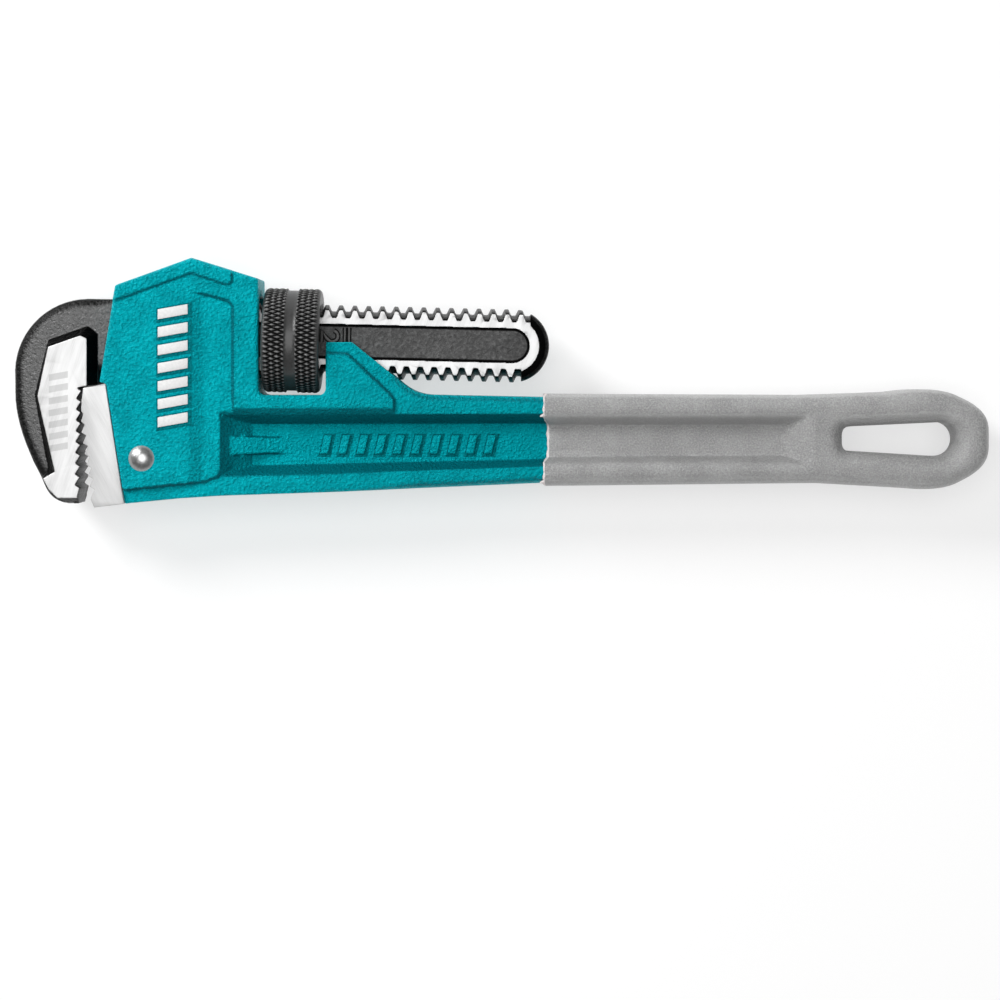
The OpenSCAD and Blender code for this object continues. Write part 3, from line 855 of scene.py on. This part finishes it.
def widened(points, share):
    """Spreads marked steps on the flat sides, outside the recess, over a little of the flat, as lines of
    painted shadow.
    """
    side = off_middle(points) > OUTER_HALF
    tree = plan_tree(points[side & (share > 0.5) & ~inside_box(points, RECESS_BOX)])
    wide = share.copy()
    for i in np.where(side & (share <= 0.5))[0]:
        away = away_from(tree, points[i])
        wide[i] = max(share[i], min(1.0, 2.0 - 2.0 * away / STEP_LINE))
    return wide


def ramp_share(points):
    """Painted shade on the long shallow ramp down the front of the panel in the head."""
    across = 1 - np.abs(points[:, 0] - (RAMP[0] + RAMP[1]) / 2) / (RAMP[1] - RAMP[0]) * 2
    here = (off_middle(points) > RAMP_FLOOR) & inside_box(points, (RAMP, RAMP_SPAN))
    return np.clip(across * 2, 0, 1) * here * RAMP_SHADE


def steep_share(points, steep, outer):
    """Keeps the painted shade of the steps off the outer edges and out of the inner channel."""
    steep = steep.copy()
    steep[off_middle(points) < INNER_HALF] = 0
    tree = plan_tree(outer)
    for i in np.where(steep > 0.02)[0]:
        steep[i] *= min(1.0, away_from(tree, points[i]) / EDGE_CLEAR) ** 2
    return steep


DIP_WAVE = 0.1 * MM
# Keeps the grip's end just inside the CAD's box.
GRIP_END_GAP = 0.001 * MM
GRIP_MARGIN = 8 * MM
SHELL_THICK = 0.9 * GRIP_THICK
# Cosines between which a wall starts to count as facing down the picture, towards -Y, where it gets
# painted light.
DOWNWARD = (0.75, 0.9)


def dip_line(points):
    """Where the vinyl starts: further back in the web than on the flanges, and slightly wavy."""
    back = (1 - share_between(off_middle(points), DIP_HEIGHTS)) * DIP_BACK
    wave = np.sin(points[:, 1] * 900) + np.sin(points[:, 1] * 2100 + points[:, 2] * 1500)
    return DIP_START + back + DIP_WAVE * wave


def dipped_grip(body):
    """Vinyl skin over the end of the handle: the casting's own surface, moved out and smoothed."""
    obj = new_object("vinyl_grip", body.data.copy())
    with edited(obj.data) as work:
        front = [v for v in work.verts if v.co.x < GRIP_LOW.x - GRIP_MARGIN]
        bmesh.ops.delete(work, geom=front, context="VERTS")
    mesh = smoothed(obj, VINYL_SOFT, CAST_VOXEL).data
    normals = normals_of(mesh)
    steep = np.zeros(len(normals), np.float32)
    mesh.attributes["steep"].data.foreach_get("value", steep)
    downwards = -normals[:, 1] / np.hypot(normals[:, 0], normals[:, 1]).clip(1e-6)
    # Painted light on the walls that face towards -Y.
    marked(mesh, "wall", steep * share_between(downwards, DOWNWARD))
    set_points(mesh, points_of(mesh) + normals * GRIP_THICK)
    smoothed(obj, CAST_SOFT, CAST_VOXEL)
    cut_at_dip(obj.data)
    shell = obj.modifiers.new("shell", "SOLIDIFY")
    shell.thickness = SHELL_THICK
    shell.offset = -1.0
    thinned(applied(obj), VINYL_TRIANGLES)
    points = points_of(obj.data)
    points[:, 0] = np.minimum(points[:, 0], GRIP_HIGH.x - GRIP_END_GAP)
    set_points(obj.data, points)
    return obj


def cut_at_dip(mesh):
    """Drops what lies ahead of the dip line, and draws the cut edge onto the line."""
    with edited(mesh) as work:
        points = np.array([v.co for v in work.verts])
        ahead = points[:, 0] < dip_line(points)
        bmesh.ops.delete(work, geom=[v for v, gone in zip(work.verts, ahead) if gone], context="VERTS")
        edge = [v for v in work.verts if v.is_boundary]
        line = dip_line(np.array([v.co for v in edge]))
        for v, x in zip(edge, line):
            v.co.x = x


cast = casting()
grip = dipped_grip(cast)
thinned(cast, CAST_TRIANGLES)
dressed(shade_smooth(cast), TEAL, "frame", "teal_paint", "handle_housing")
dressed(shade_smooth(grip), VINYL, "frame", "grey_vinyl", "grip_sleeve")


# ---------------------------------------------------------------- hook jaw

HOOK_VOXEL = 0.2 * MM
HOOK_SOFT = 0.12 * MM
HOOK_TRIANGLES = 190_000
RIM_EASE = 3.8 * MM
RIM_DROP = 1.9 * MM
# Over this length behind the mouth the eased rim gives way to the shank's plain edge.
RIM_FADE = (4 * MM, 14 * MM)
CAP_RIM = 4.3 * MM
CAP_DROP = 2.2 * MM
CAP_START_UPPER = 72.7 * MM
CAP_START_LOWER = 70.3 * MM
MOUTH_GAP = 3.2 * MM
# The hook's outer wall is looked for below this height, clear of the eased rim.
HOOK_WALL_HALF = 3.5 * MM
# Leans in degrees over which the painted shade on a softened edge comes and goes, and that of a wall.
SHADE_LEAN = (5, 18)
SHADE_END_LEAN = (50, 75)
WALL_LEAN = 45


def on_rim(points):
    """True round the back of the hook. The teeth and the shank keep their CAD edges."""
    in_mouth = (points[:, 0] > HEEL_LOW.x - MOUTH_GAP) & (points[:, 1] < 0)
    return (points[:, 0] < HEEL_LOW.x + RIM_FADE[1]) & ~in_mouth


def rounded_cap(obj):
    """Lets the flat sides of the shank fall away towards the rim of its rounded end."""
    obj.data.transform(SHANK_FRAME.inverted())
    points = points_of(obj.data)
    x, y, z = points.T
    start = np.where(y > 0, CAP_START_UPPER, CAP_START_LOWER)
    inside = SHANK_RADIUS - np.hypot(np.maximum(x - SHANK_END_CENTRE, 0), y)
    share = np.clip(1 - inside / CAP_RIM, 0, 1)
    limit = SHANK_HALF - CAP_DROP * (1 - np.sqrt(1 - share ** 2))
    points[:, 2] = np.where(x > start, np.clip(z, -limit, limit), z)
    set_points(obj.data, points)
    obj.data.transform(SHANK_FRAME)


def hook():
    """The hook jaw as a forging: softened along its back and its end, and marked there for painted shade.
    """
    obj = remeshed(cad_copy("hook_jaw", "hook_forging"), HOOK_VOXEL)
    points = points_of(obj.data)
    height = off_middle(points)
    walls = (np.abs(normals_of(obj.data)[:, 2]) < UPRIGHT) & (height < HOOK_WALL_HALF)
    among = on_rim(points) & (height < HOOK_RIM_HALF + 0.1 * MM)
    fade = 1.001 - share_between(points[:, 0] - HEEL_LOW.x, RIM_FADE)
    flat = np.full(len(points), HOOK_RIM_HALF)
    eased_sides(obj, walls, flat, fade * RIM_EASE, fade * RIM_DROP, among)
    rounded_cap(obj)
    smoothed(obj, HOOK_SOFT, HOOK_VOXEL)
    lean = tilt(obj.data)
    # Painted shade on the softened edges.
    marked(obj.data, "edge", share_between(lean, SHADE_LEAN) * (1 - share_between(lean, SHADE_END_LEAN)))
    along = (points - np.array(NUT_CENTRE)) @ np.array(SHANK_BACK)
    round_wall = on_rim(points) | (along > CAP_START_LOWER)
    round_wall &= (lean > WALL_LEAN) & (height < HOOK_RIM_HALF)
    return welded(thinned(obj, HOOK_TRIANGLES, round_wall))


dressed(shade_smooth(hook(), 40), FORGED, "hook_jaw", "black_forging", "hook_jaw")


# ---------------------------------------------------------------- scale on the shank

MARK_ROOT = 0.15 * MM
LINE_PLACES = (16.2 * MM, 17.5 * MM)
LINE_HALF = 4.3 * MM
LINE_WIDE = 0.5 * MM
NUMERAL_PLACE = (9.1 * MM, 1.6 * MM)
NUMERAL_SIZE = 5.0 * MM
NUMERAL_WIDE = 0.75 * MM
NUMERAL_BOW = 0.34


def shank_spot(x, y):
    return tuple((SHANK_FRAME @ Vector((x, y, 0)))[:2])


def numeral_two():
    """Stroke of a figure two, one unit high: the bow as an arc, then the slope and the foot."""
    bow = [(NUMERAL_BOW * math.cos(a), 1 - NUMERAL_BOW + NUMERAL_BOW * math.sin(a))
           for a in np.linspace(2.9, -0.6, 12)]
    return bow + [(0.1, 0.28), (-0.34, 0.0), (0.36, 0.0)]


def scale_marks(name, wider, top):
    """Two lines and a numeral in the sunk panel, as on a rule, read from the handle's end."""
    low, high = PANEL_FLOOR - MARK_ROOT, PANEL_FLOOR + top
    strokes = [([(x, -LINE_HALF), (x, LINE_HALF)], LINE_WIDE) for x in LINE_PLACES]
    x, y = NUMERAL_PLACE
    turned = [(x + v * NUMERAL_SIZE, y - u * NUMERAL_SIZE) for u, v in numeral_two()]
    strokes.append((turned, NUMERAL_WIDE))
    parts = []
    for stroke, wide in strokes:
        path = [shank_spot(x, y) for x, y in stroke]
        parts += [ribbon(path, wide + wider, MID_Z + low, MID_Z + high)]
        parts += [ribbon(path, wide + wider, MID_Z - high, MID_Z - low)]
    return merged(name, parts)


marks = bevelled(scale_marks("scale_marks", 0.0, 0.3 * MM), 0.1 * MM)
dressed(shade_smooth(marks, 40), MARK_BLACK, "hook_jaw", "black_forging")
# A black sheet round the marks, painted shadow.
shadow_sheets = scale_marks("scale_marks_shadow", 0.9 * MM, 0.05 * MM)
dressed(shade_smooth(shadow_sheets, 40), MARK_SHADE, "hook_jaw", "black_forging")


# ---------------------------------------------------------------- heel jaw, pin and springs

HEEL_BEVEL = 0.22 * MM
PIN_SHAFT = 2.55 * MM
# The dome stops this angle short of its pole, in radians.
PIN_TIP = 0.001


def heel():
    """The toothed block with its flat faces made whole and its edges broken."""
    obj = cad_copy("heel_jaw", "heel_block")
    with edited(obj.data) as work:
        bmesh.ops.dissolve_limit(work, angle_limit=math.radians(1), verts=work.verts, edges=work.edges)
    return bevelled(obj, HEEL_BEVEL, angle=30)


def pin():
    """Rivet with a domed head on each side."""
    radius = (PIN_HIGH.x - PIN_LOW.x) / 2
    rise = (PIN_HIGH.z - MID_Z) - HEAD_HALF
    ball = (radius ** 2 + rise ** 2) / (2 * rise)
    edge = math.asin(radius / ball)
    top = HEAD_HALF + rise - ball
    dome = [(ball * math.sin(a), top + ball * math.cos(a)) for a in np.linspace(edge, PIN_TIP, 18)]
    upper = [(PIN_SHAFT, 0.0), (PIN_SHAFT, HEAD_HALF)] + dome
    lower = [(r, -z) for r, z in upper[:0:-1]]
    obj = lathe("pin_rivet", lower + upper, 64)
    obj.data.transform(Matrix.Translation((PIN_CENTRE.x, PIN_CENTRE.y, MID_Z)))
    return obj


dressed(shade_smooth(heel(), 30), GROUND, "frame", "ground_steel", "heel_jaw")
dressed(shade_smooth(pin(), 40), POLISHED, "frame", "polished_steel", "heel_jaw_pin")

for node in ("coil_spring", "leaf_spring"):
    spring = frame["nodes"][node]
    spring.data.materials.clear()
    spring.data.materials.append(SPRING)


# ---------------------------------------------------------------- adjusting nut

# The wrench rests on its nut, so the middle plane lies at the nut's radius.
NUT_RADIUS = MID_Z
NUT_HALF = 8.7 * MM
NUT_CORNER = 1.5 * MM
NUT_BORE_MOUTH = 11.75 * MM
GROOVE_HALF = 1.5 * MM
GROOVE_DEPTH = 0.6 * MM
GROOVE_EDGE = 0.4 * MM
PLAIN_CREST = 0.65
KNURLS_AROUND = 66
KNURL_LEAN = math.radians(23)
KNURL_DEPTH = 0.5 * MM
KNURL_FLAT = 0.8


def knurl_height(turn, x):
    """Height of crossed knurling, 0 in its grooves and 1 on its diamond points."""
    slant = KNURLS_AROUND / (2 * math.pi * NUT_RADIUS) * math.tan(KNURL_LEAN)
    rise = 1.0
    for lean in (slant, -slant):
        phase = turn * KNURLS_AROUND + x * lean
        rise = np.minimum(rise, np.abs(phase % 1.0 - 0.5) * 2)
    return np.minimum(rise, KNURL_FLAT) / KNURL_FLAT


def nut_stations():
    """(x, radius, share of knurling) from one face of the nut to the other."""
    face = [(-NUT_HALF, r, 0.0) for r in np.linspace(NUT_BORE_MOUTH, NUT_RADIUS - NUT_CORNER, 4)]
    corner = [(-NUT_HALF + NUT_CORNER * (1 - math.cos(a)),
               NUT_RADIUS - NUT_CORNER * (1 - math.sin(a)), math.sin(a) ** 4)
              for a in np.linspace(0.3, math.pi / 2, 6)]
    ends = (-NUT_HALF + NUT_CORNER, -GROOVE_HALF - GROOVE_EDGE)
    band = [(x, NUT_RADIUS, 1.0) for x in np.linspace(*ends, 28)[1:]]
    groove = [(-GROOVE_HALF - 0.15 * MM, NUT_RADIUS - GROOVE_DEPTH * 0.7, 0.2),
              (-GROOVE_HALF, NUT_RADIUS - GROOVE_DEPTH, 0.0),
              (-GROOVE_HALF * 0.4, NUT_RADIUS - GROOVE_DEPTH, 0.0)]
    near = face + corner + band + groove
    return near + [(-x, r, k) for x, r, k in near[::-1]]


def knurled_skin():
    """The nut's faces, corners, knurled bands and plain groove, each point marked with its height."""
    steps = KNURLS_AROUND * 9
    turn = np.arange(steps) / steps
    angle = turn * 2 * math.pi
    rows, crests = [], []
    for x, r, share in nut_stations():
        sink = share * (1 - knurl_height(turn, x))
        radius = r - sink * KNURL_DEPTH
        rows.append(np.stack([np.full(steps, x), radius * np.cos(angle), radius * np.sin(angle)], 1))
        crests.append(1 - sink if share > 0.5 else np.full(steps, PLAIN_CREST))
    faces = [(a, d, c, b) for a, b, c, d in ring_faces(len(rows), steps)]
    obj = from_arrays("knurled_nut", np.concatenate(rows), faces)
    marked(obj.data, "crest", np.concatenate(crests))
    obj.data.transform(SHANK_FRAME)
    return obj


def threaded_bore():
    """The CAD nut's own faces inside the mouth of its bore."""
    obj = cad_copy("adjusting_nut", "nut_bore")
    obj.data.transform(SHANK_FRAME.inverted())
    with edited(obj.data) as work:
        centres = [(f, f.calc_center_median()) for f in work.faces]
        outer = [f for f, c in centres if math.hypot(c.y, c.z) > NUT_BORE_MOUTH + 0.05 * MM]
        bmesh.ops.delete(work, geom=outer, context="FACES")
    obj.data.transform(SHANK_FRAME)
    return obj


def nut():
    obj, bore = knurled_skin(), threaded_bore()
    with bpy.context.temp_override(active_object=obj, object=obj, selected_editable_objects=[obj, bore]):
        bpy.ops.object.join()
    return obj


dressed(shade_smooth(nut(), 45), KNURLED, "adjusting_nut", "nut_black", "adjusting_nut")


# ---------------------------------------------------------------- raised details

# Painted shadow round raised shapes: how far it is moved, how high it sits and how far it reaches out.
SHADOW_SHIFT = 0.3 * MM
SHADOW_RISE = 0.04 * MM
SHADOW_EDGE = 0.75 * MM
BAR_FILLED = 0.56
RAISED_ROOT = 0.4 * MM
RAISED_BEVEL = 0.16 * MM


def raised(name, outlines, ground, rise):
    """Raised shapes on both sides, each over a wider dark sheet of painted shadow that sits a little low
    and to the right.
    """
    tops, shadow_sheets = [], []
    for outline in outlines:
        tops += both_sides(outline, ground - RAISED_ROOT, ground + rise)
        # The foot is a dark sheet of painted shadow.
        foot = [(x + SHADOW_SHIFT, y - SHADOW_SHIFT) for x, y in outset(outline, SHADOW_EDGE)]
        shadow_sheets += both_sides(foot, ground - RAISED_ROOT, ground + SHADOW_RISE)
    return bevelled(merged(name, tops), RAISED_BEVEL), merged(name + "_shadow", shadow_sheets)


def badge():
    """White slanted bars down the front of the head, in place of lettering."""
    left, right, slope = -104.0 * MM, -94.9 * MM, 1.6 * MM
    top, bottom, count = 24.6 * MM, -13.6 * MM, 7
    pitch = (top - bottom) / count
    thick = pitch * BAR_FILLED
    outlines = []
    for i in range(count):
        y = bottom + i * pitch
        outlines.append([(left, y), (right, y + slope), (right, y + slope + thick), (left, y + thick)])
    return raised("head_badge", outlines, HEAD_HALF, 0.35 * MM)


def web_relief():
    """Low slanted ribs on the web, in place of cast lettering."""
    first, last, count = -55.3 * MM, -5.2 * MM, 10
    low, high, wide, lean = -21.7 * MM, -16.1 * MM, 2.3 * MM, 1.3 * MM
    outlines = []
    for i in range(count):
        x = first + (last - first) * i / (count - 1)
        outlines.append([(x, low), (x + wide, low), (x + wide + lean, high), (x + lean, high)])
    return raised("web_relief", outlines, WEB_HALF, 0.6 * MM)


# Each set of raised shapes comes with a dark sheet of painted shadow round it.
bars, bar_shadows = badge()
dressed(shade_smooth(bars, 40), WHITE, "frame", "badge_white")
dressed(shade_smooth(bar_shadows, 30), TEAL_SHADE, "frame", "teal_paint")
ribs, rib_shadows = web_relief()
dressed(shade_smooth(ribs, 40), TEAL, "frame", "teal_paint")
dressed(shade_smooth(rib_shadows, 30), TEAL_SHADE, "frame", "teal_paint")


# ---------------------------------------------------------------- floor, light and camera

# Width of the view at the height where the picture's scale holds, above the middle plane.
VIEW_SPAN = 304.0 * MM
SCALE_PLANE = 9.0 * MM
VIEW_CENTRE = (-0.3 * MM, -35.7 * MM)
CAMERA_UP = 800.0 * MM
SENSOR = 36.0
FLOOR_HALF = 4.0
# Strength of the surround low down and high up, and the heights between which it fades.
HORIZON = 1.1
OVERHEAD = 0.12
SKY_FADE = (0.14, 0.38)


def floor():
    half = FLOOR_HALF
    corners = [(-half, -half, 0), (half, -half, 0), (half, half, 0), (-half, half, 0)]
    obj = from_arrays("floor", corners, [(0, 1, 2, 3)])
    look = Look("floor_white")
    look.colour(look.mix(look.noise(0.4, 2.0), grey(0.44), grey(0.47)))
    look.fixed(Roughness=0.9, Emission_Color=grey(1.0), Emission_Strength=0.52)
    obj.data.materials.append(look.material)


def soft_light(name, place, size, power):
    """Round area lamp that points at the wrench."""
    lamp = bpy.data.lights.new(name, "AREA")
    lamp.shape = "DISK"
    lamp.size = size
    lamp.energy = power
    obj = new_object(name, lamp)
    obj.location = place
    obj.rotation_euler = (-Vector(place)).to_track_quat("-Z", "Y").to_euler()


def camera():
    """Looks straight down, shifted so that the view's centre lies below the wrench."""
    data = bpy.data.cameras.new("camera")
    data.sensor_width = SENSOR
    data.lens = SENSOR * (CAMERA_UP - SCALE_PLANE) / VIEW_SPAN
    data.shift_y = VIEW_CENTRE[1] / VIEW_SPAN
    obj = new_object("camera", data)
    obj.location = (VIEW_CENTRE[0], 0.0, MID_Z + CAMERA_UP)
    bpy.context.scene.camera = obj


def studio():
    """White surround, bright towards the horizon and dim overhead."""
    world = bpy.data.worlds.new("studio")
    world.use_nodes = True
    nodes, links = world.node_tree.nodes, world.node_tree.links
    back = nodes["Background"]
    back.inputs["Color"].default_value = grey(1.0)
    coords = nodes.new("ShaderNodeTexCoord")
    parts = nodes.new("ShaderNodeSeparateXYZ")
    fade = nodes.new("ShaderNodeMapRange")
    for key, value in zip(SPAN_ENDS, (*SKY_FADE, HORIZON, OVERHEAD)):
        fade.inputs[key].default_value = value
    links.new(coords.outputs["Generated"], parts.inputs[0])
    links.new(parts.outputs["Z"], fade.inputs["Value"])
    links.new(fade.outputs["Result"], back.inputs["Strength"])
    bpy.context.scene.world = world
    bpy.context.scene.view_settings.view_transform = "Standard"


floor()
soft_light("top", place=(-0.05, 0.05, 1.8), size=1.5, power=20)
soft_light("key", place=(-0.8, 0.7, 0.75), size=0.5, power=13)
camera()
studio()
